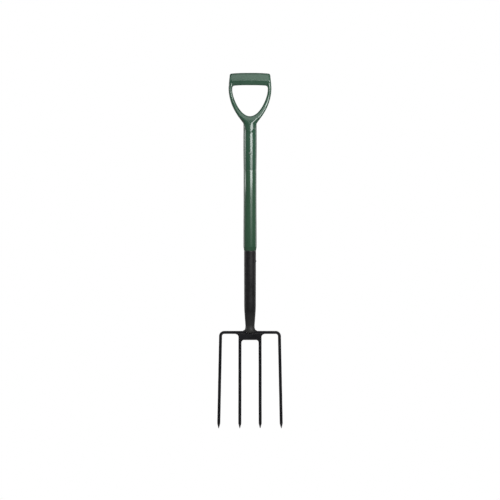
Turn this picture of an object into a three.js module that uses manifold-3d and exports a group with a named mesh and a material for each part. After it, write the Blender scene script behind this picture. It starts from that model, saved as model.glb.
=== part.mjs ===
import * as THREE from "three";
import { mergeVertices } from "three/addons/utils/BufferGeometryUtils.js";
import Module from "manifold-3d";

// A digging fork, in millimetres: +Z runs up the shaft, +X across the tines, and the front faces -Y.
// Heights are measured from the tine tips. At the end the fork is lowered so that the origin is the
// middle of the underside of the grip, where a hook carries it.

// Whole tool
const overallLength = 1010;
const fitGap = 0.3; // between two pieces that touch

// Grip: a channel under a snap-in cover
const gripHeight = 35;
const gripHalfDepth = 16;
const gripHalfLength = 61;
const gripLandHalfDepth = 7; // flat land along the underside
const gripArchRadius = 480;
const gripLandHalfLength = 10; // the middle of the underside stays straight for the hook
const gripEndRound = 4;
const gripEndLean = 0.11; // each end leans in this much for every millimetre of height
const partingHeight = 13; // above the underside
const keelPull = [0.75, 0.42]; // shares of half depth and parting height: the keel is cut under
const endKeelPull = [0.86, 0.18]; // the ends, which carry the arms, are fuller
const channelWall = 2.8;
const coverWall = 4;
const coverHalfLength = 52.3;
const tongueDepth = 4;
const tongueThickness = 1.8;

// Arms and yoke of the D handle, measured down from the underside of the grip
const armHalfSpan = 61.2;
const armTopDrop = 5;
const armPull = 64.3; // how far the outer edge runs straight down before it turns in
const holeHalfWidth = 50.4;
const holeHeight = 88;
const holeShoulderDrop = 12;
const holeSidePull = 23.2;
const holeBottomPull = 28.5;
const holeCornerRadius = 7;
const armHalfDepth = 10.5;
const armEdgeRound = 4.6;
const armEdgeRoundDepth = 6.5;
const armSlimDrop = 50; // below this the arms deepen towards the yoke
const armTopHalfDepth = 14.8;
const armFlareDrop = 38; // above this the arms deepen again towards the grip
const yokeDepthDrop = 3; // the yoke has its full depth from this far below the stem's shoulder
const yokeWaist = 19.05;
const yokeWaistPull = 7.7;
const yokeRise = 0.5; // the V stands this proud of the stem
const yokeRoundSpread = 2.75; // the oval that the V follows is this much wider than the stem
const yokeRoundEase = 0.1; // the oval clears the middle of the V by this
const yokeRoundStartDrop = 114; // the oval opens out above this, until the arms stand clear of it
const yokeRoundOpening = [24, 12]; // height above the start, and how far it has opened by there
const yokeRoundHeight = 54;
const yokePointDrop = 28.5; // the blunt point of the V, below the stem's shoulder
const yokeNoseHalfWidth = 5.5;
const yokeNoseRise = 2.5;
const yokePointPull = 14;
const yokePointRise = 17;
const stemShoulderDrop = 110;
const stemShoulderRise = 20;
const stemShoulderSink = 6; // the round shoulder springs from this far below the yoke's waist

// Stem, shaft and socket
const stemRadius = 18.85;
const stemEndRadius = 18.3;
const stemEndDrop = 241;
const stemTaperLength = 56;
const stemBoreDrop = 127;
const coreRadius = 14.9;
const coreWall = 1.5;
const coreInSocket = 74;
const sleeveRadius = 18.25;
const sleeveFootRadius = 18.75;
const sleeveSwellLength = 146; // the sleeve grows to its foot radius over this length
const sleeveLipHeight = 11;
const sleeveLipEdge = [0.5, 3]; // the chamfer's small step in, and its height
const socketLength = 227.2;
const socketMouthRadius = 17;
const socketBarrelRadius = 16.6;
const socketTaperTop = 65.2; // above the crossbar
const socketNeckTop = 15.2;
const socketNeckRadius = 13;
const socketWall = 1.8;
const socketNeckWall = 2.6;
const socketFootRadius = 15.5;
const socketFootFlatten = 0.74; // depth of the pressed foot as a share of its width
const socketLap = 6; // how far the foot laps down the front and back of the crossbar
const socketFootEdge = [[2.5, 0], [0.8, 1.2], [0, 3.5]]; // in from the foot, up from its lap
const socketFootWaist = [0.6, 3]; // in from the foot, up from the crossbar
const socketNeckFoot = [0.4, 9]; // out from the neck, up from the crossbar
const socketNeckSwell = [1.1, 13]; // out from the neck, up from its top
const socketTaperEnd = [0.7, 12]; // in from the barrel, down from the top of the taper
const socketBarrelStart = 2; // above the top of the taper
const socketBoreFloor = 6; // above the top of the neck
const socketBoreShoulder = 4; // above the top of the taper
const coreRoom = 2; // the full bore goes on this far below the core tube
const socketToeWidth = 10.5;
const socketToeHeight = 9.5;
const socketToeLip = 0.6;
const socketToePull = [0.6, 0.4]; // shares of a toe's width and height
const socketToeTuck = 1; // the toe starts this far inside the neck
const socketToeInset = 1; // a toe is thinner than the crossbar by this on each side

// Rivets
const handleRivetDrop = 193;
const handleRivetHeadRadius = 4;
const handleRivetHeadHeight = 1.3;
const handleRivetSeatDepth = 0.8;
const socketRivetDrop = 28.5; // below the socket mouth
const socketRivetHeadRadius = 3.3;
const socketRivetHeadHeight = 0.9;
const socketRivetSeatDepth = 0.4;
const rivetBarrelRadius = 2.4;
const rivetBulbRadius = 3.6;
const rivetBulbLength = 4;
const rivetBulbEnds = [0.8, 0.9]; // shares of the bulb's radius
const rivetDome = [[0.97, 0.45], [0.75, 0.85], [0.45, 1]]; // shares of head radius and height
const mandrelRadius = 1;
const mandrelHeadRadius = 1.9;
const mandrelHeadLength = 1.6;
const mandrelHeadTaper = 0.7;
const mandrelBreak = 0.7; // the pulled end breaks off at this share of the head's height

// Head
const headHeight = 276.8;
const barThickness = 8.5;
const barDepth = 12.5;
const bendInsideRadius = 6.5;
const outerTineSpread = 83.7; // from the middle to a tine, at the shoulder
const outerTineSplay = 0.0203; // spread gained for each millimetre down the tine
const innerTineSpread = 28.5;
const innerTineSplay = 0.0018;
const webDepth = 17.4; // below the crossbar
const webCornerRadius = 7;
const webFillet = 8.5;
const webFilletLip = 0.6;
const webFilletReach = 1; // the outside of a tine starts this far below the fillet
const pointLength = 13.6;
const pointHalfWidth = 0.6;
const tineForwardSweep = 16;
const sweepStartDrop = 27; // below the top of the head
const tineEndDepth = 8.5; // depth of a tine where its point begins

// Roundness of the mesh
const shaftSegments = 48;
const rivetSegments = 16;
const curveSteps = 8;
const handleCurveSteps = 14;
const tineSteps = 12;
const gripSteps = 14;
const weldDistance = 1e-4;
const overrun = 1; // how far a cutting tool passes beyond the face that it leaves
const roundingSteps = 3;

// Heights that several pieces share
const gripUnderside = overallLength - gripHeight;
const partingZ = gripUnderside + partingHeight;
const stemShoulderZ = gripUnderside - stemShoulderDrop;
const stemEndZ = gripUnderside - stemEndDrop;
const stemBoreTopZ = gripUnderside - stemBoreDrop;
const handleRivetZ = gripUnderside - handleRivetDrop;
const socketMouthZ = headHeight + socketLength;
const socketRivetZ = socketMouthZ - socketRivetDrop;
const coreBottomZ = socketMouthZ - coreInSocket;
const crossbarUndersideZ = headHeight - barThickness;
const socketSeatHalfLength = socketNeckRadius + socketToeWidth + 4 * fitGap;
const webSeatHalfLength = innerTineSpread + barThickness / 2 + webFillet + 4 * fitGap;
const boreRadius = coreRadius + fitGap;
const rivetHoleRadius = rivetBarrelRadius + fitGap;
const coreBoreRadius = coreRadius - coreWall;
// the edge of a rivet's bulb meets the curved inside of the core tube first
const bulbTop = Math.sqrt(coreBoreRadius ** 2 - rivetBulbRadius ** 2) - fitGap;

const wasm = await Module();
wasm.setup();

// A closed geometry as a solid that can be joined and cut.
function solidOf(geometry) {
  const bare = geometry.clone();
  bare.deleteAttribute("normal");
  bare.deleteAttribute("uv");
  const merged = mergeVertices(bare, weldDistance);
  const corners = merged.index.array;
  const kept = [];
  for (let i = 0; i < corners.length; i += 3) {
    const [a, b, c] = [corners[i], corners[i + 1], corners[i + 2]];
    if (a !== b && b !== c && c !== a) kept.push(a, b, c);
  }
  const vertProperties = merged.attributes.position.array;
  const triVerts = new Uint32Array(kept);
  return new wasm.Manifold(new wasm.Mesh({ numProp: 3, vertProperties, triVerts }));
}

function geometryOf(solid) {
  const mesh = solid.getMesh();
  const indexed = new THREE.BufferGeometry();
  indexed.setAttribute("position", new THREE.BufferAttribute(mesh.vertProperties, 3));
  indexed.setIndex(new THREE.BufferAttribute(mesh.triVerts, 1));
  const faceted = indexed.toNonIndexed();
  faceted.computeVertexNormals();
  return faceted;
}

// Moves every vertex of a geometry by a rule.
function reshape(geometry, rule) {
  const position = geometry.attributes.position;
  const point = new THREE.Vector3();
  for (let i = 0; i < position.count; i += 1) {
    point.fromBufferAttribute(position, i);
    rule(point);
    position.setXYZ(i, point.x, point.y, point.z);
  }
  return geometry;
}

// Turns a profile of [radius, height] pairs about Z. It runs upwards along the outside.
function turned(profile, segments = shaftSegments) {
  const points = profile.map(([radius, height]) => new THREE.Vector2(radius, height));
  return new THREE.LatheGeometry(points, segments).rotateX(Math.PI / 2);
}

// A front outline, drawn as (x, z), given a depth centred on the XZ plane.
function frontExtrusion(shape, depth, options = {}) {
  const settings = { depth, curveSegments: curveSteps, bevelEnabled: false, ...options };
  const geometry = new THREE.ExtrudeGeometry(shape, settings);
  return geometry.translate(0, 0, -depth / 2).rotateX(Math.PI / 2);
}

// A side section, drawn as (y, z), run along X and centred on the YZ plane.
function sideExtrusion(shape, length, options = {}) {
  const settings = { depth: length, curveSegments: curveSteps, bevelEnabled: false, ...options };
  const geometry = new THREE.ExtrudeGeometry(shape, settings).translate(0, 0, -length / 2);
  const toX = new THREE.Matrix4().makeBasis(
    new THREE.Vector3(0, 1, 0),
    new THREE.Vector3(0, 0, 1),
    new THREE.Vector3(1, 0, 0),
  );
  return geometry.applyMatrix4(toX);
}

function lineInSteps(shape, x, y, steps) {
  const start = shape.currentPoint.clone();
  const end = new THREE.Vector2(x, y);
  for (let i = 1; i <= steps; i += 1) {
    const point = start.clone().lerp(end, i / steps);
    shape.lineTo(point.x, point.y);
  }
}

// A shape through the given outline and its mirror image across x = 0.
function mirroredShape(drawRightHalf) {
  const half = new THREE.Path();
  drawRightHalf(half);
  const right = half.getPoints(handleCurveSteps);
  const left = right.map((p) => new THREE.Vector2(-p.x, p.y)).reverse();
  const isApart = (p, q) => p.distanceTo(q) > weldDistance;
  const all = [...right, ...left];
  return new THREE.Shape(all.filter((p, i) => isApart(p, all[(i + 1) % all.length])));
}

// Grip

// The grip's end view, set in by the given amount: a dome over the parting, a narrowing keel below it.
function gripSection(inset, [pullDepth, pullRise] = keelPull) {
  const side = gripHalfDepth - inset;
  const land = gripLandHalfDepth - inset / 2;
  const bottom = gripUnderside + inset;
  const dome = gripHeight - partingHeight - inset;
  const shape = new THREE.Shape();
  shape.moveTo(-land, bottom);
  shape.lineTo(land, bottom);
  shape.quadraticCurveTo(side * pullDepth, bottom + partingHeight * pullRise, side, partingZ);
  shape.absellipse(0, partingZ, side, dome, 0, Math.PI);
  shape.quadraticCurveTo(-side * pullDepth, bottom + partingHeight * pullRise, -land, bottom);
  return shape;
}

function rectangle(halfWidth, bottom, top) {
  const shape = new THREE.Shape();
  shape.moveTo(-halfWidth, bottom);
  shape.lineTo(halfWidth, bottom);
  shape.lineTo(halfWidth, top);
  shape.lineTo(-halfWidth, top);
  return shape;
}

// The grip is straight over the hook's land and then falls away towards both ends.
function archDrop(x) {
  const beyondLand = Math.max(0, Math.abs(x) - gripLandHalfLength);
  return (beyondLand * beyondLand) / (2 * gripArchRadius);
}

function arch(point) {
  point.z -= archDrop(point.x);
}

function gripRun(shape, length) {
  return solidOf(reshape(sideExtrusion(shape, length, { steps: gripSteps }), arch));
}

function gripHull() {
  const rounding = {
    steps: gripSteps,
    bevelEnabled: true,
    bevelThickness: gripEndRound,
    bevelSize: gripEndRound,
    bevelOffset: -gripEndRound,
    bevelSegments: roundingSteps,
  };
  const section = gripSection(0, endKeelPull);
  const straight = sideExtrusion(section, 2 * (gripHalfLength - gripEndRound), rounding);
  const leaning = reshape(straight, (point) => {
    const above = Math.max(0, point.z - gripUnderside);
    point.x *= 1 - (gripEndLean * above) / gripHalfLength;
  });
  return solidOf(reshape(leaning, arch));
}

// What is cut away beside the keel, between the arms. side is 1 for the back and -1 for the front.
function keelUndercut(side) {
  const [pullDepth, pullRise] = keelPull;
  const shape = new THREE.Shape();
  shape.moveTo(side * gripLandHalfDepth, gripUnderside);
  shape.lineTo(side * 2 * gripHalfDepth, gripUnderside);
  shape.lineTo(side * 2 * gripHalfDepth, partingZ);
  shape.lineTo(side * gripHalfDepth, partingZ);
  shape.quadraticCurveTo(
    side * gripHalfDepth * pullDepth,
    gripUnderside + partingHeight * pullRise,
    side * gripLandHalfDepth,
    gripUnderside,
  );
  return gripRun(shape, 2 * holeHalfWidth);
}

function gripCover() {
  const length = 2 * coverHalfLength;
  const wide = 2 * gripHalfDepth;
  const high = gripUnderside + 2 * gripHeight;
  const shell = gripRun(gripSection(0), length).subtract(gripRun(gripSection(coverWall), 2 * length));
  const cap = shell.intersect(gripRun(rectangle(wide, partingZ + fitGap, high), length));
  const outside = channelWall + fitGap;
  const tongueEnd = length - 2 * channelWall;
  const ring = gripRun(gripSection(outside), tongueEnd).subtract(
    gripRun(gripSection(outside + tongueThickness), length),
  );
  const tongueTop = partingZ + coverWall;
  const tongue = ring.intersect(gripRun(rectangle(wide, partingZ - tongueDepth, tongueTop), length));
  return cap.add(tongue);
}

// D handle

// Both arms and the V of the yoke in front view, with the hand hole.
function yokeShape() {
  const armTopZ = gripUnderside - armTopDrop;
  const insideGripZ = partingZ + armEdgeRound;
  const shape = mirroredShape((path) => {
    path.moveTo(0, stemShoulderZ - yokePointDrop);
    path.lineTo(yokeNoseHalfWidth, stemShoulderZ - yokePointDrop + yokeNoseRise);
    path.quadraticCurveTo(yokePointPull, stemShoulderZ - yokePointRise, yokeWaist, stemShoulderZ);
    path.bezierCurveTo(
      yokeWaist,
      stemShoulderZ + yokeWaistPull,
      armHalfSpan,
      armTopZ - armPull,
      armHalfSpan,
      armTopZ,
    );
    path.lineTo(gripHalfLength - gripEndLean * partingHeight, gripUnderside);
    path.lineTo(gripHalfLength - gripEndLean * 2 * partingHeight, insideGripZ);
    path.lineTo(0, insideGripZ);
  });
  const hole = mirroredShape((path) => {
    const shoulderZ = gripUnderside - holeShoulderDrop;
    const bottomZ = gripUnderside - holeHeight;
    const cornerX = holeHalfWidth - holeCornerRadius;
    const cornerTopZ = gripUnderside - archDrop(cornerX);
    path.moveTo(0, bottomZ);
    path.bezierCurveTo(
      holeBottomPull,
      bottomZ,
      holeHalfWidth,
      shoulderZ - holeSidePull,
      holeHalfWidth,
      shoulderZ,
    );
    path.lineTo(holeHalfWidth, cornerTopZ - holeCornerRadius);
    path.absarc(cornerX, cornerTopZ - holeCornerRadius, holeCornerRadius, 0, Math.PI / 2);
    path.lineTo(0, gripUnderside + overrun);
  });
  shape.holes.push(hole);
  return shape;
}

// The arms are slimmest halfway. They deepen up to the grip, and down into the yoke, where the V
// stands just proud of the stem.
function yokePlate() {
  const rounding = {
    bevelEnabled: true,
    bevelThickness: armEdgeRoundDepth,
    bevelSize: armEdgeRound,
    bevelOffset: -armEdgeRound,
    bevelSegments: roundingSteps,
  };
  const flat = 2 * (armHalfDepth - armEdgeRoundDepth);
  const plate = reshape(frontExtrusion(yokeShape(), flat, rounding), (point) => {
    const slimZ = gripUnderside - armSlimDrop;
    const slim = THREE.MathUtils.smoothstep(point.z, stemShoulderZ - yokeDepthDrop, slimZ);
    const flare = THREE.MathUtils.smoothstep(point.z, gripUnderside - armFlareDrop, gripUnderside);
    point.y *= THREE.MathUtils.lerp((stemRadius + yokeRise) / armHalfDepth, 1, slim);
    point.y *= THREE.MathUtils.lerp(1, armTopHalfDepth / armHalfDepth, flare);
  });
  return solidOf(plate);
}

// The V is round in front and behind like the stem, and runs out into the arms.
function yokeRound() {
  const startZ = gripUnderside - yokeRoundStartDrop;
  const halfWidth = stemRadius + yokeRoundSpread;
  const halfDepth = stemRadius + yokeRise + yokeRoundEase;
  const profile = [
    [0, stemEndZ],
    [halfWidth, stemEndZ],
  ];
  for (let i = 0; i <= handleCurveSteps; i += 1) {
    const rise = (yokeRoundHeight * i) / handleCurveSteps;
    const opening = yokeRoundOpening[1] * (rise / yokeRoundOpening[0]) ** 2;
    profile.push([halfWidth + opening, startZ + rise]);
  }
  const widest = profile[profile.length - 1][0];
  profile.push([widest, gripUnderside + gripHeight]);
  profile.push([0, gripUnderside + gripHeight]);
  return solidOf(turned(profile).scale(1, halfDepth / halfWidth, 1));
}

// The stem is turned, from its open lower end up to a round shoulder inside the yoke.
function stem() {
  const profile = [
    [0, stemEndZ],
    [stemEndRadius, stemEndZ],
    [stemRadius, stemEndZ + stemTaperLength],
  ];
  const springZ = stemShoulderZ - stemShoulderSink;
  for (let i = 0; i < handleCurveSteps; i += 1) {
    const turn = (i / handleCurveSteps) * (Math.PI / 2);
    profile.push([stemRadius * Math.cos(turn), springZ + stemShoulderRise * Math.sin(turn)]);
  }
  profile.push([0, springZ + stemShoulderRise]);
  return solidOf(turned(profile));
}

// A rod along the rivet's axis: from the middle of the tool towards the front, or towards +X.
function rivetRod(radius, from, to, z, towards) {
  const rod = turned([[0, from], [radius, from], [radius, to], [0, to]], rivetSegments);
  if (towards === "front") rod.rotateX(Math.PI / 2);
  else rod.rotateY(Math.PI / 2);
  return solidOf(rod.translate(0, 0, z));
}

function dHandle() {
  const channel = gripRun(gripSection(channelWall), 2 * (coverHalfLength + fitGap));
  const coverRoom = gripRun(
    rectangle(2 * gripHalfDepth, partingZ, gripUnderside + 2 * gripHeight),
    2 * (coverHalfLength + fitGap),
  );
  const bore = solidOf(
    turned([
      [0, stemEndZ - overrun],
      [boreRadius, stemEndZ - overrun],
      [boreRadius, stemBoreTopZ],
      [0, stemBoreTopZ],
    ]),
  );
  const seatRadius = handleRivetHeadRadius + 2 * fitGap;
  const seatFloor = stemRadius - handleRivetSeatDepth;
  return gripHull()
    .add(yokePlate().intersect(yokeRound()))
    .subtract(keelUndercut(1))
    .subtract(keelUndercut(-1))
    .add(stem())
    .subtract(channel)
    .subtract(coverRoom)
    .subtract(bore)
    .subtract(rivetRod(rivetHoleRadius, 0, 2 * stemRadius, handleRivetZ, "front"))
    .subtract(rivetRod(seatRadius, seatFloor, 2 * stemRadius, handleRivetZ, "front"));
}

// Shaft

function coreTube() {
  const top = stemBoreTopZ - fitGap;
  const tube = turned([
    [coreBoreRadius, coreBottomZ],
    [coreRadius, coreBottomZ],
    [coreRadius, top],
    [coreBoreRadius, top],
    [coreBoreRadius, coreBottomZ],
  ]);
  return solidOf(tube)
    .subtract(rivetRod(rivetHoleRadius, 0, 2 * coreRadius, handleRivetZ, "front"))
    .subtract(rivetRod(rivetHoleRadius, 0, 2 * coreRadius, socketRivetZ, "side"));
}

function shaftSleeve() {
  const bottom = socketMouthZ + fitGap;
  const top = stemEndZ - fitGap;
  const lipTop = bottom + sleeveLipHeight;
  const [lipStep, lipChamfer] = sleeveLipEdge;
  const profile = [
    [boreRadius, bottom],
    [socketMouthRadius, bottom],
    [sleeveFootRadius - lipStep, lipTop - lipChamfer],
    [sleeveFootRadius, lipTop],
  ];
  for (let i = 1; i <= curveSteps; i += 1) {
    const along = i / curveSteps;
    const swell = (1 + Math.cos(Math.PI * along)) / 2;
    const radius = sleeveRadius + (sleeveFootRadius - sleeveRadius) * swell;
    profile.push([radius, lipTop + sleeveSwellLength * along]);
  }
  profile.push([sleeveRadius, top], [boreRadius, top], [boreRadius, bottom]);
  return solidOf(turned(profile));
}

// Socket

// The foot is pressed flatter than the round barrel above it.
function pressFoot(point) {
  const flat = headHeight + socketNeckTop;
  const round = headHeight + socketTaperTop;
  const along = THREE.MathUtils.smoothstep(point.z, flat, round);
  point.y *= THREE.MathUtils.lerp(socketFootFlatten, 1, along);
}

function pressed(profile) {
  return solidOf(reshape(turned(profile), pressFoot));
}

function socketToes() {
  const shape = mirroredShape((path) => {
    const bottom = headHeight;
    const reach = socketNeckRadius + socketToeWidth;
    const [pullWidth, pullHeight] = socketToePull;
    path.moveTo(0, bottom);
    path.lineTo(reach, bottom);
    path.lineTo(reach, bottom + socketToeLip);
    path.bezierCurveTo(
      reach - socketToeWidth * pullWidth,
      bottom + socketToeLip,
      socketNeckRadius,
      bottom + socketToeHeight * pullHeight,
      socketNeckRadius - socketToeTuck,
      bottom + socketToeHeight,
    );
    path.lineTo(0, bottom + socketToeHeight);
  });
  return solidOf(frontExtrusion(shape, barDepth - 2 * socketToeInset));
}

function forkSocket() {
  const neckTopZ = headHeight + socketNeckTop;
  const taperTopZ = headHeight + socketTaperTop;
  const lapZ = headHeight - socketLap;
  const neckBore = socketNeckRadius - socketNeckWall;
  const outside = pressed([
    [0, lapZ],
    ...socketFootEdge.map(([into, up]) => [socketFootRadius - into, lapZ + up]),
    [socketFootRadius - socketFootWaist[0], headHeight + socketFootWaist[1]],
    [socketNeckRadius + socketNeckFoot[0], headHeight + socketNeckFoot[1]],
    [socketNeckRadius, neckTopZ],
    [socketNeckRadius + socketNeckSwell[0], neckTopZ + socketNeckSwell[1]],
    [socketBarrelRadius - socketTaperEnd[0], taperTopZ - socketTaperEnd[1]],
    [socketBarrelRadius, taperTopZ + socketBarrelStart],
    [socketMouthRadius, socketMouthZ],
    [0, socketMouthZ],
  ]);
  const bore = pressed([
    [0, neckTopZ + socketBoreFloor],
    [neckBore, neckTopZ + socketBoreFloor],
    [socketBarrelRadius - socketWall, taperTopZ + socketBoreShoulder],
    [boreRadius, coreBottomZ - coreRoom],
    [boreRadius, socketMouthZ + overrun],
    [0, socketMouthZ + overrun],
  ]);
  const slotHeight = 2 * socketLap;
  const slot = new THREE.BoxGeometry(4 * socketSeatHalfLength, barDepth + 2 * fitGap, slotHeight);
  slot.translate(0, 0, headHeight - slotHeight / 2);
  const seatRadius = socketRivetHeadRadius + 2 * fitGap;
  const seatFloor = socketMouthRadius - socketRivetSeatDepth;
  return outside
    .add(socketToes())
    .subtract(bore)
    .subtract(solidOf(slot))
    .subtract(rivetRod(rivetHoleRadius, 0, 2 * socketMouthRadius, socketRivetZ, "side"))
    .subtract(rivetRod(seatRadius, seatFloor, 2 * socketMouthRadius, socketRivetZ, "side"));
}

// Blind rivets, drawn standing on the tool's centreline with the head up

function blindRivet(seat, headRadius, headHeight) {
  const hole = mandrelRadius + fitGap;
  const [lowerEnd, upperEnd] = rivetBulbEnds;
  const profile = [
    [hole, bulbTop - rivetBulbLength],
    [rivetBulbRadius * lowerEnd, bulbTop - rivetBulbLength],
    [rivetBulbRadius, bulbTop - rivetBulbLength / 2],
    [rivetBulbRadius * upperEnd, bulbTop],
    [rivetBarrelRadius, bulbTop],
    [rivetBarrelRadius, seat],
    [headRadius, seat],
    ...rivetDome.map(([out, up]) => [headRadius * out, seat + headHeight * up]),
    [hole, seat + headHeight],
    [hole, bulbTop - rivetBulbLength],
  ];
  return solidOf(turned(profile, rivetSegments));
}

function mandrel(seat, headHeight) {
  const bulbBottom = bulbTop - rivetBulbLength - fitGap;
  const profile = [
    [0, bulbBottom - mandrelHeadLength],
    [mandrelHeadRadius * mandrelHeadTaper, bulbBottom - mandrelHeadLength],
    [mandrelHeadRadius, bulbBottom],
    [mandrelRadius, bulbBottom],
    [mandrelRadius, seat + headHeight * mandrelBreak],
    [0, seat + headHeight * mandrelBreak],
  ];
  return solidOf(turned(profile, rivetSegments));
}

const handleRivetSeat = stemRadius - handleRivetSeatDepth + fitGap;
const socketRivetSeat = socketMouthRadius - socketRivetSeatDepth + fitGap;

// Head

// A tine thins towards its point and curves forward; the crossbar and web stay straight.
function shapeTine(point) {
  const start = headHeight - sweepStartDrop;
  const down = THREE.MathUtils.clamp((start - point.z) / start, 0, 1);
  const intoPoint = THREE.MathUtils.clamp(1 - point.z / pointLength, 0, 1);
  const depth = THREE.MathUtils.lerp(barDepth, tineEndDepth, down);
  const pointed = THREE.MathUtils.lerp(depth, 2 * pointHalfWidth, intoPoint);
  point.y = (point.y * pointed) / barDepth - tineForwardSweep * down * down;
}

// Draws a tine in front view, down its outside edge, round the point and up its inside edge.
function drawTine(path, spreadAtTop, splay, outsideTop, insideTop) {
  const half = barThickness / 2;
  const shoulderZ = headHeight - bendInsideRadius - barThickness;
  const middleAt = (z) => spreadAtTop + (shoulderZ - z) * splay;
  path.lineTo(middleAt(outsideTop) + half, outsideTop);
  lineInSteps(path, middleAt(pointLength) + half, pointLength, tineSteps);
  path.lineTo(middleAt(0) + pointHalfWidth, 0);
  path.lineTo(middleAt(0) - pointHalfWidth, 0);
  path.lineTo(middleAt(pointLength) - half, pointLength);
  lineInSteps(path, middleAt(insideTop) - half, insideTop, tineSteps);
}

// One bar bent down at both ends. Shallow seats in its middle take the socket's toes and the web.
function outerTineBar() {
  const shape = mirroredShape((path) => {
    const shoulderZ = headHeight - bendInsideRadius - barThickness;
    const bendX = outerTineSpread - barThickness / 2 - bendInsideRadius;
    path.moveTo(0, headHeight - fitGap);
    path.lineTo(socketSeatHalfLength, headHeight - fitGap);
    path.lineTo(socketSeatHalfLength, headHeight);
    path.lineTo(bendX, headHeight);
    path.absarc(bendX, shoulderZ, bendInsideRadius + barThickness, Math.PI / 2, 0, true);
    drawTine(path, outerTineSpread, outerTineSplay, shoulderZ, shoulderZ);
    path.absarc(bendX, shoulderZ, bendInsideRadius, 0, Math.PI / 2);
    path.lineTo(webSeatHalfLength, crossbarUndersideZ);
    path.lineTo(webSeatHalfLength, crossbarUndersideZ + fitGap);
    path.lineTo(0, crossbarUndersideZ + fitGap);
  });
  return solidOf(reshape(frontExtrusion(shape, barDepth), shapeTine));
}

function innerTineYoke() {
  const shape = mirroredShape((path) => {
    const top = crossbarUndersideZ;
    const filletTop = top - webFilletLip;
    const outside = innerTineSpread + barThickness / 2;
    const inside = innerTineSpread - barThickness / 2;
    const webBottom = crossbarUndersideZ - webDepth;
    const filletX = outside + webFillet;
    path.moveTo(0, top);
    path.lineTo(filletX, top);
    path.absarc(filletX, filletTop - webFillet, webFillet, Math.PI / 2, Math.PI);
    drawTine(
      path,
      innerTineSpread,
      innerTineSplay,
      filletTop - webFillet - webFilletReach,
      webBottom - webCornerRadius,
    );
    path.absarc(inside - webCornerRadius, webBottom - webCornerRadius, webCornerRadius, 0, Math.PI / 2);
    path.lineTo(0, webBottom);
  });
  return solidOf(reshape(frontExtrusion(shape, barDepth), shapeTine));
}

// Materials

function finish(color, roughness, metalness) {
  return new THREE.MeshStandardMaterial({ color, roughness, metalness });
}

const greenPlastic = () => finish(0x2f5a43, 0.42, 0);
const blackSteel = () => finish(0x1d1d20, 0.55, 0.35);
const plainSteel = () => finish(0x8f9294, 0.4, 0.9);

const fork = new THREE.Group();

function addPiece(name, solid, material) {
  const piece = new THREE.Mesh(geometryOf(solid), material);
  piece.name = name;
  fork.add(piece);
  return piece;
}

addPiece("d_handle", dHandle(), greenPlastic());
addPiece("grip_cover", gripCover(), greenPlastic());
addPiece("shaft_sleeve", shaftSleeve(), greenPlastic());
addPiece("core_tube", coreTube(), plainSteel());
addPiece("fork_socket", forkSocket(), blackSteel());
addPiece("outer_tine_bar", outerTineBar(), blackSteel());
addPiece("inner_tine_yoke", innerTineYoke(), blackSteel());

const handleRivetPieces = [
  addPiece(
    "handle_rivet",
    blindRivet(handleRivetSeat, handleRivetHeadRadius, handleRivetHeadHeight),
    greenPlastic(),
  ),
  addPiece("handle_rivet_mandrel", mandrel(handleRivetSeat, handleRivetHeadHeight), plainSteel()),
];
for (const piece of handleRivetPieces) {
  piece.rotation.x = Math.PI / 2;
  piece.position.z = handleRivetZ;
}

const socketRivetPieces = [
  addPiece(
    "socket_rivet",
    blindRivet(socketRivetSeat, socketRivetHeadRadius, socketRivetHeadHeight),
    blackSteel(),
  ),
  addPiece("socket_rivet_mandrel", mandrel(socketRivetSeat, socketRivetHeadHeight), plainSteel()),
];
for (const piece of socketRivetPieces) {
  piece.rotation.y = Math.PI / 2;
  piece.position.z = socketRivetZ;
}

fork.position.z = -gripUnderside;

export default fork;
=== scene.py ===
import math

import bmesh
import bpy
import numpy as np
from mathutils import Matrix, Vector, noise


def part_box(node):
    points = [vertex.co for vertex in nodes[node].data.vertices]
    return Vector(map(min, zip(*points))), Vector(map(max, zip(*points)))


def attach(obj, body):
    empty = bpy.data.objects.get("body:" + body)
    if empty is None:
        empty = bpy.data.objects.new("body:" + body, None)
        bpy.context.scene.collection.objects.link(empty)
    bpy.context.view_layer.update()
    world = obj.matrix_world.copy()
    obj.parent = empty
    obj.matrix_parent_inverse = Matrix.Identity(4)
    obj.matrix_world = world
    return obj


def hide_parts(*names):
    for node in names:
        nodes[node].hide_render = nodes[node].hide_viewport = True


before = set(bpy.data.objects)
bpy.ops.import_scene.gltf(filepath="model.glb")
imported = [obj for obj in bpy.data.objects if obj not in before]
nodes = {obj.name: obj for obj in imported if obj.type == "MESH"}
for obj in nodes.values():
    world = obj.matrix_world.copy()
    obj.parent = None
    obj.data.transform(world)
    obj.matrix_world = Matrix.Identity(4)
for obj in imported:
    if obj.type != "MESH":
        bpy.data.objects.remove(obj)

# Shapes are worked out in millimetres and go into the scene in metres.
mm = 0.001
scene = bpy.context.scene
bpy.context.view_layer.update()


def boxInMm(node):
    low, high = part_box(node)
    return Vector(low) / mm, Vector(high) / mm


handleLow = boxInMm("d_handle")[0]
sleeveLow, sleeveHigh = boxInMm("shaft_sleeve")
socketHigh = boxInMm("fork_socket")[1]
barLow, barHigh = boxInMm("outer_tine_bar")
handleRivetLow, handleRivetHigh = boxInMm("handle_rivet")
socketRivetLow, socketRivetHigh = boxInMm("socket_rivet")
tipZ = barLow.z
stemEndZ = handleLow.z


def meshObject(name, points, faces):
    mesh = bpy.data.meshes.new(name)
    mesh.from_pydata([(x * mm, y * mm, z * mm) for x, y, z in points], [], faces)
    mesh.validate()
    piece = bpy.data.objects.new(name, mesh)
    scene.collection.objects.link(piece)
    return piece


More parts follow.
